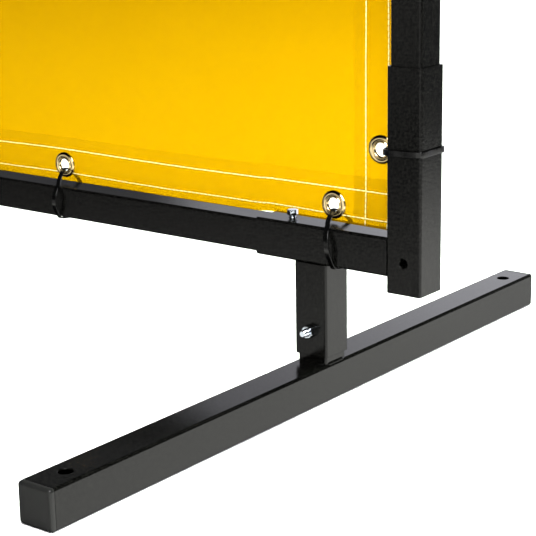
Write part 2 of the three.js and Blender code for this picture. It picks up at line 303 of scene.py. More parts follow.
def bump(tree, height, distance, strength, under=None):
    """A bumped normal, over the one under it where there is one."""
    inputs = {"Height": height, "Distance": distance, "Strength": strength}
    if under is not None:
        inputs["Normal"] = under
    return add_node(tree, "ShaderNodeBump", inputs).outputs[0]


def finished(material, shader):
    """The material, with its tree ended in a shader."""
    add_node(material.node_tree, "ShaderNodeOutputMaterial", {"Surface": shader.outputs[0]})
    return material


def powder_coat():
    """Satin black powder coat: a fine speckle and grain, an orange peel, and a little unevenness."""
    material, tree = new_tree("powder_coat")
    speckle = noise_of(tree, 560, rough=0.7)
    grain = noise_of(tree, 520, detail=3, rough=0.7)
    peel = noise_of(tree, 230, detail=1)
    patches = noise_of(tree, 9, detail=4)
    fleck = spread(tree, speckle, 0.0, 1.0, 0.4, 0.6)
    rough = bump(tree, grain, 0.085 * MM, 0.9, under=bump(tree, peel, 0.04 * MM, 0.4))
    shader = add_node(tree, "ShaderNodeBsdfPrincipled", {
        "Base Color": blend_colours(
            tree, fleck, (0.0004, 0.0004, 0.0004), (0.0046, 0.0045, 0.0041)),
        "Roughness": spread(tree, patches, 0.11, 0.145),
        "Specular IOR Level": 0.18,
        "Normal": rough,
    })
    return finished(material, shader)


def moulded_plastic():
    """Black polyethylene with a fine spark-eroded texture."""
    material, tree = new_tree("moulded_plastic")
    texture = noise_of(tree, 1100, detail=4, rough=0.7)
    cloud = noise_of(tree, 60, detail=3)
    shader = add_node(tree, "ShaderNodeBsdfPrincipled", {
        "Base Color": blend_colours(tree, cloud, (0.007, 0.007, 0.007), (0.013, 0.013, 0.0125)),
        "Roughness": spread(tree, cloud, 0.30, 0.38),
        "Specular IOR Level": 0.26,
        "Normal": bump(tree, texture, 0.05 * MM, 0.8),
    })
    return finished(material, shader)


def black_nylon():
    """Cable-tie nylon: smooth, with faint lengthwise drawing marks."""
    material, tree = new_tree("black_nylon")
    marks = noise_of(tree, 900)
    cloud = noise_of(tree, 150)
    shader = add_node(tree, "ShaderNodeBsdfPrincipled", {
        "Base Color": blend_colours(tree, cloud, (0.0008, 0.0008, 0.0008), (0.002, 0.002, 0.002)),
        "Roughness": spread(tree, cloud, 0.12, 0.20),
        "Specular IOR Level": 0.5,
        "Normal": bump(tree, marks, 0.02 * MM, 0.6),
    })
    return finished(material, shader)


def plated_steel(name, first, second, smooth, rough, scale):
    """A plated metal with cloudy colour and fine scuffs."""
    material, tree = new_tree(name)
    cloud = noise_of(tree, scale, detail=3)
    scuffs = noise_of(tree, 2500, detail=3, rough=0.6)
    shader = add_node(tree, "ShaderNodeBsdfPrincipled", {
        "Base Color": blend_colours(tree, cloud, first, second),
        "Metallic": 1.0,
        "Roughness": spread(tree, cloud, smooth, rough),
        "Normal": bump(tree, scuffs, 0.01 * MM, 0.7),
    })
    return finished(material, shader)


def tinted_vinyl(name, hazy, pale, deep):
    """Yellow welding vinyl: a tinted film that you see through, with a hazy, faintly wavy face.

    hazy is how much of the light the film's face scatters, and pale and deep are its tints.
    """
    material, tree = new_tree(name)
    haze = noise_of(tree, 14, detail=5, rough=0.6)
    waves = noise_of(tree, 26, stretch=(1.0, 1.0, 0.35))
    texture = noise_of(tree, 700)
    film = add_node(tree, "ShaderNodeBsdfTransparent", {
        "Color": blend_colours(tree, haze, deep, pale),
    })
    face = add_node(tree, "ShaderNodeBsdfPrincipled", {
        "Base Color": blend_colours(tree, haze, (0.50, 0.295, 0.0002), (0.53, 0.315, 0.0003)),
        "Roughness": spread(tree, haze, 0.22, 0.32),
        "Specular IOR Level": 0.05,
        "Normal": bump(tree, texture, 0.02 * MM, 0.4, under=bump(tree, waves, 0.6 * MM, 0.25)),
    })
    inputs = {"Fac": hazy, 1: film.outputs[0], 2: face.outputs[0]}
    mix = add_node(tree, "ShaderNodeMixShader", inputs)
    return finished(material, mix)


def sewing_thread():
    """Cream bonded polyester thread with a fine twist."""
    material, tree = new_tree("sewing_thread")
    fibres = noise_of(tree, 3000)
    shade = noise_of(tree, 90)
    shader = add_node(tree, "ShaderNodeBsdfPrincipled", {
        "Base Color": blend_colours(tree, shade, (0.70, 0.60, 0.27), (0.80, 0.72, 0.40)),
        "Roughness": spread(tree, fibres, 0.5, 0.7),
        "Specular IOR Level": 0.4,
        "Normal": bump(tree, fibres, 0.05 * MM, 0.6),
    })
    return finished(material, shader)


def pale_floor():
    """The studio's plain floor, slightly cloudy."""
    material, tree = new_tree("pale_floor")
    cloud = noise_of(tree, 3, detail=3)
    shader = add_node(tree, "ShaderNodeBsdfPrincipled", {
        "Base Color": blend_colours(tree, cloud, (0.94, 0.94, 0.94), (0.96, 0.96, 0.96)),
        "Roughness": spread(tree, cloud, 0.7, 0.8),
        "Specular IOR Level": 0.0,
    })
    return finished(material, shader)


PAINT = powder_coat()
PLASTIC = moulded_plastic()
NYLON = black_nylon()
ZINC = plated_steel("bright_zinc", (0.62, 0.68, 0.76), (0.80, 0.84, 0.90), 0.08, 0.18, 240)
NICKEL = plated_steel("grommet_nickel", (0.86, 0.63, 0.28), (0.97, 0.81, 0.48), 0.08, 0.16, 160)
VINYL_FILM = tinted_vinyl("tinted_vinyl", 0.20, (0.670, 0.486, 0.004), (0.652, 0.468, 0.002))
HEM_FILM = tinted_vinyl("hem_vinyl", 0.06, (0.985, 0.985, 0.60), (0.970, 0.972, 0.55))
THREAD = sewing_thread()
FLOOR = pale_floor()


# ---------- tubes ----------

def tube_skin(size, length):
    """An open square tube along Z with its middle at the origin: rounded corners and end edges."""
    inner = size - 2 * WALL
    inner_corner = TUBE_CORNER - WALL
    outside = [(-inset, away) for inset, away in arc_insets(END_ROUNDING)]
    inside = [(inset, away) for inset, away in reversed(arc_insets(END_ROUNDING / 2))]

    def end(way, rows, side, corner):
        """Rings round one end, each grown from the square by so much and set back by so much."""
        return [
            rounded_square(side + 2 * grown, corner + grown, way * (length / 2 - away))
            for grown, away in rows
        ]

    rings = end(1, outside, size, TUBE_CORNER)
    rings += end(1, inside, inner, inner_corner)
    rings += list(reversed(end(-1, inside, inner, inner_corner)))
    rings += list(reversed(end(-1, outside, size, TUBE_CORNER)))
    return loft(rings, closed=True)


def drill(point, direction, radius):
    """A round cutter that goes in at a point on a face, against direction, with a rounded mouth."""
    profile = [(radius, -HOLE_DEPTH)]
    for inset, away in arc_insets(HOLE_ROUNDING):
        profile.append((radius + HOLE_ROUNDING - away, inset - HOLE_ROUNDING))
    profile.append((radius + HOLE_ROUNDING, 1 * MM))
    part = loft([circle(r, h, HOLE_POINTS) for r, h in profile])
    return moved(part, Matrix.Translation(Vector(point)) @ turn_from_z(direction))


def add_tube(node, body, drills=()):
    """The detailed form of one of the CAD's square tubes."""
    low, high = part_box(node)
    sides = high - low
    axis = max(range(3), key=lambda i: sides[i])
    size = min(sides)
    matrix = Matrix.Translation((low + high) / 2) @ turned_to(axis)
    part = moved(tube_skin(size, sides[axis]), matrix)
    tube = add_object(node + "_painted", *part, PAINT)
    if drills:
        cut(tube, drills)
    weigh_normals(tube)
    place(tube, body, "tube_paint", node)


def bead(start, end, normal, radius, seed):
    """A small weld bead from start to end, its ripples about a radius apart."""
    start, end, normal = Vector(start), Vector(end), Vector(normal).normalized()
    along = end - start
    side = along.normalized().cross(normal)
    dice = random.Random(seed)
    steps = max(6, int(along.length / (0.55 * radius)))
    rings = []
    for i in range(steps + 1):
        share = i / steps
        taper = min(1.0, 6 * share + 0.25, 6 * (1 - share) + 0.25)
        swell = radius * taper * (0.93 + 0.09 * (i % 2) + dice.uniform(-0.04, 0.04))
        centre = start + along * share + side * dice.uniform(-0.06, 0.06) * radius
        rings.append([
            centre + swell * (math.cos(a) * side + math.sin(a) * normal)
            for a in (2 * math.pi * k / 10 for k in range(10))
        ])
    return loft(rings)


def add_frame():
    """The rails, and each end's upright, sleeves, leg, stub and foot, with their weld beads."""
    for rail in ("bottom_rail", "top_rail"):
        add_tube(rail, ROOT)
    for end, side in ENDS.items():
        body = end + "_end"
        add_tube(end + "_upright", body)
        for level in LEVELS:
            add_sleeves(end, side, level, body)
        add_leg(end, body)
        add_foot(end, body)


def add_sleeves(end, side, level, body):
    """A post sleeve with its hole, the rail sleeve welded to it, and the clamp screw's hole."""
    prefix = f"{end}_{level}_"
    low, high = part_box(prefix + "post_sleeve")
    rail_low, rail_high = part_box(prefix + "rail_sleeve")
    up = LEVELS[level]
    outer_end = low.z if up < 0 else high.z
    hole_z = outer_end - up * POST_HOLE_TO_END
    hole = drill(((low.x + high.x) / 2, low.y, hole_z), (0, -1, 0), POST_HOLE)
    add_tube(prefix + "post_sleeve", body, [hole])
    screw_x = middle_of(prefix + "clamp_screw").x
    face_z = rail_high.z if up < 0 else rail_low.z
    tapped = drill((screw_x, 0, face_z), (0, 0, -up), SCREW_HOLE)
    add_tube(prefix + "rail_sleeve", body, [tapped])

    joint_x = low.x if side > 0 else high.x
    reach = (high.y - low.y) / 2 - TUBE_CORNER
    corner = Vector((-side, 0, 0))
    beads = [
        bead((joint_x, -reach, z), (joint_x, reach, z), corner + Vector((0, 0, way)), SIDE_BEAD, i)
        for i, (z, way) in enumerate(((rail_low.z, -1), (rail_high.z, 1)))
    ]
    beads.append(bead(
        (joint_x, high.y, rail_low.z + TUBE_CORNER),
        (joint_x, high.y, rail_high.z - TUBE_CORNER),
        corner + Vector((0, 1, 0)),
        BEAD,
        seed=7,
    ))
    weld = add_object(prefix + "weld", *joined(beads), PAINT)
    place(weld, body, "tube_paint")


def add_leg(end, body):
    """The leg with its bolt hole and welds, and the foot's stub inside it."""
    low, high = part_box(end + "_leg")
    bolt = middle_of(end + "_leg_bolt")
    for node in (end + "_leg", end + "_foot_stub"):
        tube_low, tube_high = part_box(node)
        holes = [
            drill((bolt.x, y, bolt.z), (0, way, 0), BOLT_HOLE)
            for y, way in ((tube_low.y, -1), (tube_high.y, 1))
        ]
        add_tube(node, body, holes)

    reach = (high.y - low.y) / 2 - TUBE_CORNER
    beads = [
        bead((x, -reach, high.z), (x, reach, high.z), (way, 0, -0.7), LEG_BEAD, 20 + way)
        for x, way in ((low.x, -1), (high.x, 1))
    ]
    stub_low, stub_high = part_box(end + "_foot_stub")
    half = (stub_high.x - stub_low.x) / 2
    middle = middle_of(end + "_foot_stub")
    middle.z = 0
    reach = half - 2.2 * MM
    for i in range(4):
        turn = Matrix.Rotation(math.radians(90 * i), 4, "Z")
        first = middle + turn @ Vector((reach, half, stub_low.z))
        last = middle + turn @ Vector((-reach, half, stub_low.z))
        beads.append(bead(first, last, turn @ Vector((0, 0.8, 1)), BEAD, 30 + i))
    weld = add_object(end + "_leg_weld", *joined(beads), PAINT)
    place(weld, body, "tube_paint")


def add_foot(end, body):
    """The cross foot, with a hole in its top near each end."""
    node = end + "_foot"
    x = middle_of(node).x
    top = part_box(node)[1].z
    holes = [drill((x, y, top), (0, 0, 1), FOOT_HOLE) for y in (-FOOT_HOLE_Y, FOOT_HOLE_Y)]
    add_tube(node, body, holes)


# ---------- moulded caps ----------

def cap_skin(size, head, plug):
    """A cap along Z: a soft-edged head with a slight crown from z = 0 up, and a plug below."""
    plug_size = size - 2 * WALL - 0.5 * MM
    rings = [
        rounded_square(plug_size - 2 * MM, 0.6 * MM, -plug),
        rounded_square(plug_size, 1.0 * MM, -plug + 1.5 * MM),
        rounded_square(plug_size, 1.0 * MM, 0.02 * MM),
        rounded_square(size - 0.5 * MM, TUBE_CORNER, 0.02 * MM),
        rounded_square(size - 0.1 * MM, TUBE_CORNER, 0.2 * MM),
    ]
    edge = min(2.5 * MM, 0.5 * head)
    for inset, away in arc_insets(edge, 5):
        corner = TUBE_CORNER + 0.2 * MM - 0.3 * inset
        rings.append(rounded_square(size - 0.1 * MM - 2 * inset, corner, head - 0.3 * MM - away))
    flat = size - 2 * edge
    for share, crown in ((0.8, 0.12), (0.5, 0.24), (0.2, 0.3)):
        ring = rounded_square(flat * share, 1.9 * MM * share, head - (0.3 - crown) * MM)
        rings.append(ring)
    return loft(rings)


def add_caps():
    """Two caps on each foot and one on each post."""
    for end in ENDS:
        for name, direction in (
            ("foot_front_cap", (0, -1, 0)),
            ("foot_rear_cap", (0, 1, 0)),
            ("post_cap", (0, 0, 1)),
        ):
            node = f"{end}_{name}"
            low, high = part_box(node)
            out = Vector(direction)
            size = high.x - low.x
            seat = middle_of(node)
            axis = max(range(3), key=lambda i: abs(out[i]))
            seat[axis] = (high[axis] if out[axis] > 0 else low[axis]) - out[axis] * CAP_HEAD
            skin = cap_skin(size, CAP_HEAD, CAP_PLUG)
            part = moved(skin, Matrix.Translation(seat) @ turn_from_z(out))
            cap = add_object(node + "_moulded", *part, PLASTIC)
            weigh_normals(cap)
            place(cap, f"{end}_end", "cap_plastic", node)


# ---------- fasteners ----------

def hex_ring(across, height, chamfer_side=0):
    """A hexagon's outline at a height. chamfer_side lowers or raises its corners onto a cone."""
    points = []
    for i in range(HEX_POINTS):
        angle = 2 * math.pi * i / HEX_POINTS
        off = (angle + math.pi / 6) % (math.pi / 3) - math.pi / 6
        radius = across / 2 / math.cos(off)
        drop = (radius - CHAMFER_START * across) * math.tan(math.radians(30))
        level = height - chamfer_side * drop
        points.append(Vector((radius * math.cos(angle), radius * math.sin(angle), level)))
    return points


def hex_skin(across, height, bore=0.0):
    """A hex head along Z from z = 0, or a nut where it has a bore, with chamfered corners."""
    rings = [
        circle(CHAMFER_START * across, 0, HEX_POINTS),
        hex_ring(across, 0, -1),
        hex_ring(across, height, 1),
        circle(CHAMFER_START * across, height, HEX_POINTS),
    ]
    if not bore:
        rings.append(circle(0.2 * across, height - 0.1 * MM, HEX_POINTS))
        return loft(rings)
    lead = 0.4 * MM
    for radius, level in ((bore + lead, height), (bore, height - lead), (bore, lead), (bore + lead, 0)):
        rings.append(circle(radius, level, HEX_POINTS))
    return loft(rings, closed=True)


def thread_skin(radius, start, end):
    """A threaded rod along Z with chamfered ends."""
    count = 28
    steps = max(4, int((end - start) / THREAD_PITCH * 8))
    depth = 0.55 * THREAD_PITCH
    rings = []
    for i in range(steps + 1):
        z = start + (end - start) * i / steps
        from_tip = min(z - start, end - z)
        ring = []
        for k in range(count):
            phase = (z / THREAD_PITCH - k / count) % 1
            flank = abs(2 * phase - 1)
            r = min(radius - depth * flank, radius - 0.9 * MM + from_tip)
            angle = 2 * math.pi * k / count
            ring.append(Vector((r * math.cos(angle), r * math.sin(angle), z)))
        rings.append(ring)
    return loft(rings)


def add_fastener(node, part, seat, direction, body, turn):
    """A zinc-plated fastener built along Z, seated at a point and pointing along direction."""
    spin = Matrix.Rotation(math.radians(turn), 4, "Z")
    matrix = Matrix.Translation(Vector(seat)) @ turn_from_z(direction) @ spin
    fastener = add_object(node + "_zinc", *moved(part, matrix), ZINC)
    weigh_normals(fastener)
    place(fastener, body, "bright_zinc", node)


def add_fasteners():
    """The legs' bolts and nuts, and the four clamp screws."""
    for end in ENDS:
        leg_low, leg_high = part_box(end + "_leg")
        low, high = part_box(end + "_leg_bolt")
        x, _, z = middle_of(end + "_leg_bolt")
        body = end + "_end"
        grip = leg_high.y - low.y
        bolt = joined([
            hex_skin(BOLT_ACROSS, high.y - leg_high.y),
            thread_skin(BOLT_RADIUS, -grip, 0.1 * MM),
        ])
        add_fastener(end + "_leg_bolt", bolt, (x, leg_high.y, z), (0, 1, 0), body, turn=9)
        nut_low, nut_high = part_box(end + "_leg_nut")
        nut = hex_skin(BOLT_ACROSS, nut_high.y - nut_low.y, bore=NUT_BORE)
        add_fastener(end + "_leg_nut", nut, (x, leg_low.y, z), (0, -1, 0), body, turn=12)
    for end in ENDS:
        for level, up in LEVELS.items():
            node = f"{end}_{level}_clamp_screw"
            sleeve_low, sleeve_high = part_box(f"{end}_{level}_rail_sleeve")
            low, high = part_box(node)
            face_z = sleeve_high.z if up < 0 else sleeve_low.z
            head = (high.z - face_z if up < 0 else face_z - low.z) - SCREW_STANDS
            screw = joined([
                thread_skin(SCREW_RADIUS, -1.5 * MM, SCREW_STANDS + 0.5 * MM),
                moved(hex_skin(SCREW_ACROSS, head), Matrix.Translation((0, 0, SCREW_STANDS))),
            ])
            seat = middle_of(node)
            seat.z = face_z
            add_fastener(node, screw, seat, (0, 0, -up), f"{end}_{level}_screw", turn=17)


# ---------- curtain ----------

def ramp(value, start, end):
    """A smooth step from 0 at start to 1 at end."""
    share = min(1.0, max(0.0, (value - start) / (end - start)))
    return share * share * (3 - 2 * share)


def between_ties(along):
    """0 at the ties and 1 half way between them, for a distance from an edge's middle."""
    return 0.5 - 0.5 * math.cos(2 * math.pi * (along / PITCH + 0.5))


def grommet_spots(edge):
    """The grommets along an edge, as (x, height above the curtain's middle)."""
    alongs = [(i - (COUNT - 1) / 2) * PITCH for i in range(COUNT)]
    if edge in ("bottom", "top"):
        way = -1 if edge == "bottom" else 1
        return [(along, way * (HALF_HEIGHT - EDGE_TO_GROMMET)) for along in alongs]
    return [(ENDS[edge] * (HALF_WIDTH - EDGE_TO_GROMMET), along) for along in alongs]


SPOTS = [spot for edge in EDGES for spot in grommet_spots(edge)]


def relief(x, z):
    """How far the curtain stands back from its plane at a point on it."""
    to_side = HALF_WIDTH - abs(x)
    to_end = HALF_HEIGHT - abs(z - MIDDLE_Z)
    fading = 0.30 * PITCH
    scallop = 0.9 * MM * between_ties(x) * math.exp(-to_end / fading)
    scallop += 0.9 * MM * between_ties(z - MIDDLE_Z) * math.exp(-to_side / fading)
    curl = 3.5 * MM * math.exp(-to_end / 0.022) * math.exp(-to_side / 0.045)
    inner = ramp(min(to_side, to_end), 0.03, 0.30)
    broad = noise.noise(Vector((1.9 * x, 1.3 * z, 4.2)))
    fine = noise.noise(Vector((6.1 * x, 2.3 * z, 9.7)))
    return scallop - curl + inner * (5.0 * MM * broad + 1.1 * MM * fine)


def slack(x, z):
    """How far a point sags or is drawn in from the edges between the ties, as (dx, dz)."""
    up = z - MIDDLE_Z
    to_side = HALF_WIDTH - abs(x)
    to_end = HALF_HEIGHT - abs(up)
    fading = 0.12
    dx = -math.copysign(0.6 * MM * between_ties(up) * math.exp(-to_side / fading), x)
    clear_of_sleeves = 1 - ramp(abs(x), SLEEVE_INNER_END - 14 * MM, SLEEVE_INNER_END - 1 * MM)
    sag = 1.7 * MM * clear_of_sleeves if up < 0 else 1.2 * MM
    dz = -sag * between_ties(x) * math.exp(-to_end / fading)
    if up < 0:
        dz -= 1.1 * MM * clear_of_sleeves * (1 - between_ties(x)) * math.exp(-to_end / 0.010)
    return dx, dz


def on_curtain(x, z, behind=0.0):
    """The point of the hung curtain that was at (x, z) when flat, and behind its front layer."""
    dx, dz = slack(x, z)
    return Vector((x + dx, CURTAIN_Y - LAYER / 2 + relief(x, z) + behind, z + dz))


def cloth_lines(half, marks):
    """Grid lines across half of the curtain, from its middle out: even ones and those near marks."""
    lines = list(marks)
    step = 17 * MM
    for i in range(int(half / step) + 1):
        line = i * step
        if line < half - 2 * MM and all(abs(line - mark) > 5 * MM for mark in marks):
            lines.append(line)
    return sorted(lines)


def sheet_axis(half, grommets):
    """Steps across the whole cloth: (distance from the middle, layer, share of the fold)."""
    around = [offset * MM for offset in range(-9, 10, 3)]
    hem = [EDGE_TO_GROMMET + offset for offset in around] + [2 * MM, 30 * MM, 35 * MM, HEM]
    marks = [half - s for s in hem] + [g + offset for g in grommets for offset in around]
    marks.append(half - HEM - 5 * MM)
    main = [line for line in cloth_lines(half, marks) if line > 0]
    fold = [i / 6 for i in range(1, 6)]
    flap = sorted((half - s for s in hem), reverse=True)
    positive = [(line, 0, 0.0) for line in main]
    positive += [(half, 0, share) for share in fold]
    positive += [(line, 1, 0.0) for line in flap]
    negative = [(-line, layer, share) for line, layer, share in reversed(positive)]
    return negative + [(0.0, 0, 0.0)] + positive


def add_curtain():
    """One cut sheet: a main layer, four flaps folded back behind it, and the grommets' holes."""
    columns = [(i + 0.5) * PITCH for i in range(COUNT // 2)]
    across = sheet_axis(HALF_WIDTH, columns)
    upward = sheet_axis(HALF_HEIGHT, columns)

    def hole_near(x, up):
        """The grommet that a point is near, or None."""
        for spot in SPOTS:
            if max(abs(x - spot[0]), abs(up - spot[1])) < 9.5 * MM:
                return spot
        return None

    def place_point(column, row):
        """Where two grid lines cross: (x, height above the middle, depth behind the front layer)."""
        x, side_flap, side_fold = column
        up, end_flap, end_fold = row
        in_corner = ramp(abs(x), HALF_WIDTH - HEM - 5 * MM, HALF_WIDTH - HEM)
        under = side_flap
        if side_fold:
            under = 0.5 - 0.5 * math.cos(math.pi * side_fold)
        over = 1 + 2 * in_corner - under
        if end_fold:
            turn = math.pi * end_fold
            layer = (under + over) / 2 - (over - under) / 2 * math.cos(turn)
            out = (over - under) / 2 * math.sin(turn) * LAYER
        else:
            layer = over if end_flap else under
            out = 0.0
        side_out = 0.5 * LAYER * math.sin(math.pi * side_fold) if side_fold else 0.0
        x_flat = math.copysign(min(abs(x), HALF_WIDTH - FOLD_INSET) + side_out, x) if x else 0.0
        up_flat = math.copysign(min(abs(up), HALF_HEIGHT - FOLD_INSET) + out, up) if up else 0.0
        return x_flat, up_flat, layer * LAYER

    index = {}
    verts = []
    faces = []
    folded = []
    grid = [[place_point(column, row) for column in across] for row in upward]

    def vertex(r, c):
        """The number of a crossing's vertex, which is made the first time it is asked for."""
        if (r, c) not in index:
            x, up, behind = grid[r][c]
            centre = hole_near(x, up)
            if centre:
                dx, dz = x - centre[0], up - centre[1]
                if abs(max(abs(dx), abs(dz)) - HOLE_CELL) < 0.5 * MM:
                    scale = CUT_HOLE / math.hypot(dx, dz)
                    x, up = centre[0] + dx * scale, centre[1] + dz * scale
            index[(r, c)] = len(verts)
            verts.append(on_curtain(x, MIDDLE_Z + up, behind))
        return index[(r, c)]

    for r in range(len(upward) - 1):
        for c in range(len(across) - 1):
            corners = [grid[r][c], grid[r][c + 1], grid[r + 1][c + 1], grid[r + 1][c]]
            x = sum(corner[0] for corner in corners) / 4
            up = sum(corner[1] for corner in corners) / 4
            centre = hole_near(x, up)
            if centre and max(abs(x - centre[0]), abs(up - centre[1])) < HOLE_CELL:
                continue
            faces.append((vertex(r, c), vertex(r, c + 1), vertex(r + 1, c + 1), vertex(r + 1, c)))
            folded.append(min(corner[2] for corner in corners) > 0)
    curtain = add_object("curtain_vinyl", verts, faces, VINYL_FILM)
    curtain.data.materials.append(HEM_FILM)
    for polygon, is_folded in zip(curtain.data.polygons, folded):
        polygon.material_index = int(is_folded)
    solid = curtain.modifiers.new("thickness", "SOLIDIFY")
    solid.thickness = VINYL
    solid.offset = 0
    return place(curtain, ROOT, "vinyl", "curtain")


def grommet_skin():
    """A grommet along Z: a rolled barrel, and a domed flange on each side of the hem.

    Its profile is in millimetres, as (radius, height), from the barrel out to the rim and back.
    """
    front_profile = [
        (5.50, 0.0), (5.52, 0.60), (5.65, 1.15), (5.95, 1.58), (6.35, 1.80), (6.80, 1.78),
        (7.15, 1.56), (7.40, 1.24), (7.65, 1.12), (7.95, 1.24), (8.35, 1.46), (8.9, 1.62),
        (9.5, 1.64), (10.1, 1.52), (10.7, 1.28), (11.2, 0.97), (11.55, 0.64), (11.75, 0.42),
        (11.7, 0.32), (9.5, 0.52), (7.6, 0.62), (6.6, 0.5), (6.3, 0.0),
    ]
    back_profile = [(r, -0.93 * h) for r, h in reversed(front_profile[1:-1])]
    around = 48
    rings = [circle(r * MM, h * MM, around) for r, h in front_profile + back_profile]
    return loft(rings, closed=True)


def add_grommets():
    """The grommets, crimped through both layers of the hem, each a little out of true."""
    dice = random.Random(11)
    made = []
    for edge in EDGES:
        parts = []
        for x, up in grommet_spots(edge):
            tilt = Matrix.Identity(4)
            for axis in "XZ":
                tilt = tilt @ Matrix.Rotation(math.radians(dice.uniform(-2.5, 2.5)), 4, axis)
            to_front = Matrix.Rotation(math.pi / 2, 4, "X")
            seat = on_curtain(x, MIDDLE_Z + up, LAYER / 2)
            parts.append(moved(grommet_skin(), Matrix.Translation(seat) @ tilt @ to_front))
        grommets = add_object(f"grommets_{edge}", *joined(parts), NICKEL)
        made.append(place(grommets, ROOT, "bright_zinc"))
    return made


def stitch(first, last, sink):
    """One stitch: a short rounded thread that dives into the hem at both ends."""
    along = last - first
    side = along.normalized().cross(sink).normalized()
    half_profile = ((0.0, 0.55, 0.9), (0.14, 0.95, 0.2))
    profile = [*half_profile, (0.5, 1.0, 0.0)]
    profile += [(1 - share, thick, depth) for share, thick, depth in reversed(half_profile)]
    rings = []
    for share, thick, depth in profile:
        centre = first + along * share + sink * depth * THREAD_RADIUS
        rings.append([
            centre + THREAD_RADIUS * thick * (math.cos(a) * side + math.sin(a) * sink)
            for a in (2 * math.pi * k / 6 for k in range(6))
        ])
    return loft(rings)


def add_threads():
    """Two rows of stitches all round the hem, on its front and on its back."""
    clear_of_grommet = 11.2 * MM
    made = []
    for face, sink_way in (("front", 1), ("back", -1)):
        dice = random.Random(5 + sink_way)
        parts = []
        for row, inset in enumerate(THREAD_ROWS):
            for edge in range(4):  # top, right, bottom, left
                horizontal = edge % 2 == 0
                way = 1 if edge < 2 else -1
                reach = (HALF_WIDTH if horizontal else HALF_HEIGHT) - 0.8 * MM
                out = (HALF_HEIGHT if horizontal else HALF_WIDTH) - inset
                for i in range(int(2 * reach / STITCH)):
                    along = -reach + i * STITCH
                    wander = 0.9 * MM * noise.noise(Vector((7 * along, 3.1 * edge, 5.3 * row)))

                    def needle_at(distance):
                        """A point along the row: (x, height above the middle, place on the hem)."""
                        across = way * (out + wander + dice.uniform(-0.12, 0.12) * MM)
                        x, up = (distance, across) if horizontal else (across, distance)
                        in_corner = abs(x) > HALF_WIDTH - HEM and abs(up) > HALF_HEIGHT - HEM
                        layers = 3 if in_corner else 1
                        surface = -VINYL / 2 if sink_way > 0 else layers * LAYER + VINYL / 2
                        behind = surface - sink_way * 0.35 * THREAD_RADIUS
                        return x, up, on_curtain(x, MIDDLE_Z + up, behind)

                    x, up, first = needle_at(along)
                    last = needle_at(along + 0.93 * STITCH)[2]
                    if all(math.hypot(x - cx, up - cz) >= clear_of_grommet for cx, cz in SPOTS):
                        parts.append(stitch(first, last, Vector((0, sink_way, 0))))
        thread = add_object(f"hem_thread_{face}", *joined(parts), THREAD)
        thread.visible_glossy = False
        made.append(place(thread, ROOT, "vinyl"))
    return made


# ---------- cable ties ----------

def smooth_loop(points, steps=7):
    """A closed curve through 2D points, the centripetal kind, which doesn't overshoot."""
    line = []
    count = len(points)
    for i in range(count):
        before, start, end, after = (points[(i + k) % count] for k in (-1, 0, 1, 2))
        times = [0.0]
        for first, second in ((before, start), (start, end), (end, after)):
            times.append(times[-1] + math.sqrt((second - first).length))
        for k in range(steps):
            t = times[1] + (times[2] - times[1]) * k / steps

            def between(p, q, low, high):
                """From p to q, as t goes from one of the times to another."""
                return p.lerp(q, (t - times[low]) / (times[high] - times[low]))

            near_start = between(
                between(before, start, 0, 1), between(start, end, 1, 2), 0, 2)
            near_end = between(
                between(start, end, 1, 2), between(end, after, 2, 3), 1, 3)
            line.append(between(near_start, near_end, 1, 2))
    return line


def rounded_box(centre, sides, edge):
    """A box with rounded edges along Y, as a stack of rounded outlines."""
    rings = []
    levels = [(inset, away) for inset, away in reversed(arc_insets(edge))]
    heights = [(-sides.y / 2 + away, inset) for inset, away in levels]
    heights += [(sides.y / 2 - away, inset) for inset, away in reversed(levels)]
    for level, inset in heights:
        outline = rounded_outline(sides.x - 2 * inset, sides.z - 2 * inset, edge - inset, TIE_STEPS)
        rings.append([centre + Vector((x, level, z)) for x, z in outline])
    return loft(rings)


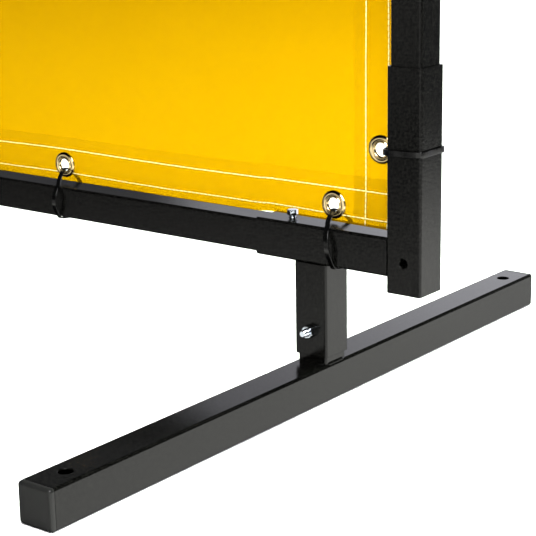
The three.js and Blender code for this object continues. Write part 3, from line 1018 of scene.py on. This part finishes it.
def tie_skin(tube_size, grommet_distance, lie, way, slacks, dice):
    """A cable tie in its own frame: x to the screen's back, y to the curtain, z along the tube."""
    shift, drift = lie
    half = TIE_THICKNESS / 2
    tube = tube_size / 2 + TIE_CLEARANCE
    near = tube + half
    strap = grommet_distance - TIE_IN_GROMMET + half
    turn = 1.6 * MM
    front_slack, under_slack, back_slack = slacks
    line = smooth_loop([
        Vector((-near, turn - near)),
        Vector((turn - near, -near)),
        Vector((0, -near - under_slack)),
        Vector((near - turn, -near)),
        Vector((near, turn - near)),
        Vector((near + back_slack, 0)),
        Vector((near, near - turn)),
        Vector((CURTAIN_Y + TIE_TURN, strap - 0.7 * MM)),
        Vector((CURTAIN_Y, strap + 0.1 * MM)),
        Vector((CURTAIN_Y - TIE_TURN, strap - 0.9 * MM)),
        Vector((-near, near - turn)),
        Vector((-near - front_slack, 0)),
    ])
    outline = rounded_outline(TIE_THICKNESS, TIE_WIDTH, TIE_EDGE, TIE_STEPS)
    skew = dice.uniform(-0.3, 0.3) * MM
    rings = []
    for i, point in enumerate(line):
        tangent = (line[(i + 1) % len(line)] - line[i - 1]).normalized()
        out = Vector((tangent.y, -tangent.x))
        to_tube = min(1.0, max(0.0, (strap - point.y) / (strap - near)))
        across = min(1.0, max(0.0, (near - point.y) / (2 * near)))
        along = way * (to_tube * (shift + skew) + across * (drift - 2 * skew))
        rings.append([
            Vector((point.x + out.x * o, point.y + out.y * o, along + a)) for o, a in outline
        ])
    middle = way * (shift + skew + (drift - 2 * skew) / 2)
    face = tube + TIE_THICKNESS + back_slack
    head_sides = Vector((3.9, 6.2, 5.9)) * MM
    head = rounded_box(Vector((face + 1.4 * MM, 0, middle)), head_sides, 0.6 * MM)
    tail_length = dice.uniform(4.6, 5.8) * MM
    tail_sides = Vector((1.1 * MM, tail_length, 4.4 * MM))
    tail_middle = Vector((face + 1.5 * MM, -tail_length / 2 - 0.4 * MM, middle))
    tail = rounded_box(tail_middle, tail_sides, 0.3 * MM)
    return joined([loft(rings, closed=True), head, tail])


def add_tie(node, part, towards, seat, body):
    """A tie turned so that its y runs along towards, from the frame to the curtain."""
    back = Vector((0, 1, 0))
    towards = Vector(towards)
    basis = Matrix((back, towards, back.cross(towards))).transposed().to_4x4()
    matrix = Matrix.Translation(Vector(seat)) @ basis
    tie = add_object(node + "_nylon", *moved(part, matrix), NYLON)
    weigh_normals(tie)
    place(tie, body, "tie_nylon", node)


def add_ties():
    """A tie through every grommet: round a rail, a rail sleeve, an upright or a post sleeve."""
    dice = random.Random(3)
    inner = min(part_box("bottom_rail")[1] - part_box("bottom_rail")[0])
    outer = min(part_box("left_foot")[1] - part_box("left_foot")[0])
    for edge, up, rail in (("bottom", 1, "bottom_rail"), ("top", -1, "top_rail")):
        low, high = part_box(rail)
        z = (low.z + high.z) / 2
        distance = HALF_HEIGHT - EDGE_TO_GROMMET - abs(z - MIDDLE_Z)
        for i in range(COUNT):
            offset = i - (COUNT - 1) / 2
            at_leg = i in (0, COUNT - 1)
            lie = LEG_LIE if at_leg else RAIL_LIE
            size = outer if at_leg else inner
            way = math.copysign(1, offset) * up
            slacks = [dice.uniform(0.8, 1.1) * amount for amount in RAIL_SLACKS]
            part = tie_skin(size, abs(distance), lie, way, slacks, dice)
            add_tie(f"tie_{edge}_{i + 1}", part, (0, 0, up), (offset * PITCH, 0, z), ROOT)
    for end, side in ENDS.items():
        low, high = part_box(end + "_upright")
        x = (low.x + high.x) / 2
        distance = abs(x) - (HALF_WIDTH - EDGE_TO_GROMMET)
        for i in range(COUNT):
            size = outer if i in (0, COUNT - 1) else inner
            slacks = [dice.uniform(0.6, 1.0) * amount for amount in POST_SLACKS]
            part = tie_skin(size, distance, POST_LIE, side, slacks, dice)
            seat = (x, 0, MIDDLE_Z + (i - (COUNT - 1) / 2) * PITCH)
            add_tie(f"tie_{end}_{i + 1}", part, (-side, 0, 0), seat, end + "_end")


# ---------- studio ----------

def add_floor():
    """A pale sweep: level for 10 m round the screen, then rising gently behind every view."""
    level_reach = 10.0
    steepening = 60.0
    around = 96
    rings = []
    for step in reversed(range(17)):
        beyond = 2.5 * step
        rings.append(circle(level_reach + beyond, beyond ** 2 / (2 * steepening), around))
    verts, faces = loft(rings, caps=False)
    faces.append(tuple(range(len(verts) - around, len(verts))))
    floor = add_object("floor", verts, faces, FLOOR)
    floor.visible_glossy = False


def add_sky():
    """The studio's panels as world light, dark everywhere else.

    Reflections see the world's lower half in place of the floor.
    """
    world = bpy.data.worlds.new("studio")
    world.use_nodes = True
    bpy.context.scene.world = world
    tree = world.node_tree
    tree.nodes.clear()
    direction = add_node(tree, "ShaderNodeTexCoord").outputs["Generated"]
    height = add_node(tree, "ShaderNodeSeparateXYZ", {"Vector": direction}).outputs["Z"]

    def fade(start, end, low, high, value=height):
        """low to high, as value goes from start to end. value is a direction's height by default."""
        inputs = {
            "Value": value, "From Min": start, "From Max": end, "To Min": low, "To Max": high}
        return add_node(
            tree, "ShaderNodeMapRange", inputs, interpolation_type="SMOOTHSTEP").outputs[0]

    def maths(operation, first, second):
        inputs = {0: first, 1: second}
        return add_node(tree, "ShaderNodeMath", inputs, operation=operation).outputs[0]

    def times(first, second):
        return maths("MULTIPLY", first, second)

    def plus(first, second):
        return maths("ADD", first, second)

    def facing(x, y):
        """How far a direction points towards (x, y), from -1 to 1."""
        return add_node(
            tree, "ShaderNodeVectorMath", {0: direction, 1: (x, y, 0.0)}, operation="DOT_PRODUCT",
        ).outputs["Value"]

    def glow(colour, strength):
        """World light of a colour and strength."""
        return add_node(tree, "ShaderNodeBackground", {
            "Color": (*colour, 1), "Strength": strength}).outputs[0]

    # a low panel at the back, with a clear left edge, which the tops of the rails and feet mirror
    from_edge = facing(0.77, 0.64)
    panel = plus(
        fade(-0.032, -0.004, 0.12, 0.86, value=from_edge),
        fade(0.0, 0.2, 0.0, 0.85, value=from_edge))
    panel = times(panel, fade(0.3, 0.8, 0.0, 1.0, value=facing(-0.61, 0.79)))
    panel = times(panel, fade(0.45, 0.38, 0.0, 1.0))
    # bright ground on the right, which the right-hand faces mirror
    right = plus(fade(-0.187, -0.207, 0.04, 0.50), fade(-0.20, -0.26, 0.0, 0.50))
    right = times(right, fade(-0.265, -0.31, 1.0, 0.82))
    right = times(right, fade(0.28, 0.62, 0.0, 3.4, value=facing(1, 0)))
    right = times(right, fade(0.02, 0.0, 0.0, 1.0))
    # dimmer ground and a faint wall at the front left, which the front faces mirror
    upper_front = times(fade(-0.18, -0.15, 0.0, 0.5), fade(0.05, 0.0, 0.0, 1.0))
    front = plus(fade(-0.215, -0.27, 0.0, 1.2), upper_front)
    front = times(front, fade(0.84, 0.92, 0.0, 1.0, value=facing(-0.61, -0.79)))
    # a bright wall in front, which only rounded edges, ties and grommets catch
    wall = fade(0.84, 0.93, 0.0, 1.1, value=facing(0.12, -0.993))
    wall = times(wall, fade(0.35, 0.15, 0.0, 1.0))
    panels = add_node(tree, "ShaderNodeAddShader", {
        0: glow((0.93, 0.93, 1.0), panel),
        1: glow((1.0, 1.0, 0.95), plus(plus(right, front), wall)),
    })
    add_node(tree, "ShaderNodeOutputWorld", {"Surface": panels.outputs[0]})


def add_lamp(name, kind, strength):
    """A lamp of a kind, pointing straight down."""
    light = bpy.data.lights.new(name, kind)
    light.energy = strength
    lamp = bpy.data.objects.new(name, light)
    bpy.context.scene.collection.objects.link(lamp)
    return lamp


def add_softbox(name, place_at, target, side, watts):
    """A square soft light of so many watts, aimed at a point."""
    lamp = add_lamp(name, "AREA", watts)
    lamp.data.size = side
    lamp.location = Vector(place_at)
    lamp.rotation_euler = (Vector(target) - lamp.location).to_track_quat("-Z", "Y").to_euler()
    lamp.visible_camera = False
    return lamp


def add_lights():
    """A soft ceiling, a small light on the near corner, and one on the floor seen through the curtain.

    Only front_right shows in reflections.
    """
    overhead = add_softbox("overhead", (-0.3, 1.0, 5.0), (-0.3, 1.0, 0.0), 8.0, 300)
    ceiling = add_lamp("ceiling", "SUN", 2.1)
    ceiling.data.angle = math.radians(70)
    add_softbox("front_right", (1.25, -0.7, 0.85), (0.8, 0.0, 0.35), 0.6, 17)
    floor_wash = add_softbox("floor_wash", (1.5, 1.6, 2.2), (1.1, 1.4, 0.0), 1.2, 165)
    floor_wash.data.color = (0.85, 1.0, 0.8)
    for lamp in (overhead, ceiling, floor_wash):
        lamp.visible_glossy = False


def add_camera():
    """The camera, from the photograph's perspective: close to the lower right corner."""
    yaw, pitch, roll = (math.radians(a) for a in (37.76, 14.99, -0.97))
    back = Vector((
        math.sin(yaw) * math.cos(pitch), -math.cos(yaw) * math.cos(pitch), math.sin(pitch)))
    level_right = Vector((math.cos(yaw), math.sin(yaw), 0))
    level_up = back.cross(level_right)
    right = math.cos(roll) * level_right + math.sin(roll) * level_up
    up = -math.sin(roll) * level_right + math.cos(roll) * level_up
    data = bpy.data.cameras.new("camera")
    data.sensor_width = 36
    data.lens = 108.17
    data.clip_end = 200
    camera = bpy.data.objects.new("camera", data)
    bpy.context.scene.collection.objects.link(camera)
    standpoint = (1.5023, -1.0373, 0.4525)
    turn = Matrix((right, up, back)).transposed().to_4x4()
    camera.matrix_world = Matrix.Translation(standpoint) @ turn
    bpy.context.scene.camera = camera


# ---------- assembly ----------

add_camera()
add_frame()
add_caps()
add_fasteners()
curtain = add_curtain()
grommets = add_grommets()
threads = add_threads()
add_ties()

add_floor()
add_sky()
add_lights()
# The curtain neither colours the floor nor shows in the paint.
curtain.visible_glossy = False
curtain.visible_shadow = False
curtain.visible_diffuse = False
bpy.context.scene.view_settings.view_transform = "Standard"
